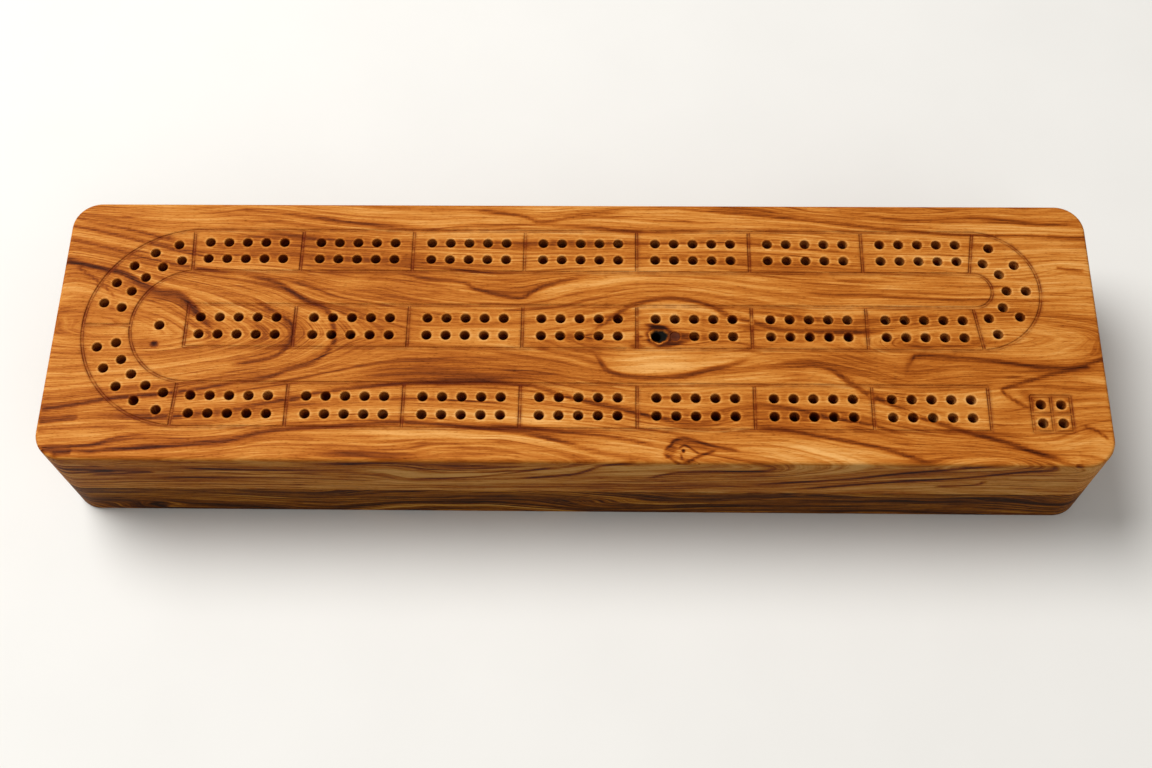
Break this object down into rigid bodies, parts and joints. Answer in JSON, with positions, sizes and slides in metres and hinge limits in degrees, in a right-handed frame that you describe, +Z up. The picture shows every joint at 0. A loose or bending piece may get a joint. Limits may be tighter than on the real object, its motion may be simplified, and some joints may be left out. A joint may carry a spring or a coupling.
{
  "type": "cribbage box with drawer",
  "caption": "Long wooden cribbage box with rounded corners, a drilled and engraved pegging track on top and an inset drawer for cards and pegs in one end.",
  "frame": {"origin": "middle of the flat base that the box stands on", "axes": "+Z up; +X along the box towards the end that the drawer opens at; +Y across it, away from the player"},
  "size_m": [0.346, 0.0954, 0.046],
  "materials": {
    "playing_board_wood": "oiled olive wood, satin",
    "base_board_wood": "oiled olive wood, darker figure, satin",
    "drawer_front_wood": "oiled olive wood, satin",
    "drawer_wood": "plain pale hardwood, waxed",
    "light_peg_wood": "turned pale hardwood, polished",
    "dark_peg_wood": "turned dark hardwood, polished",
    "magnet_plating": "nickel plated disc",
    "brass": "bare brass pin"
  },
  "bodies": {
    "case": {"top_board": "playing_board_wood", "lower_board": "base_board_wood", "case_magnet": "magnet_plating", "stop_pin": "brass"},
    "drawer": {"drawer_front": "drawer_front_wood", "drawer_left_side": "drawer_wood", "drawer_right_side": "drawer_wood", "drawer_back": "drawer_wood", "drawer_bottom": "drawer_wood", "peg_divider": "drawer_wood", "card_divider": "drawer_wood", "drawer_magnet": "magnet_plating", "light_peg_1": "light_peg_wood", "light_peg_2": "light_peg_wood", "dark_peg_1": "dark_peg_wood", "dark_peg_2": "dark_peg_wood"}
  },
  "joints": [
    {"name": "drawer_slide", "type": "slide", "parent": "case", "child": "drawer", "axis": [1, 0, 0], "range_m": [0, 0.1975]}
  ]
}
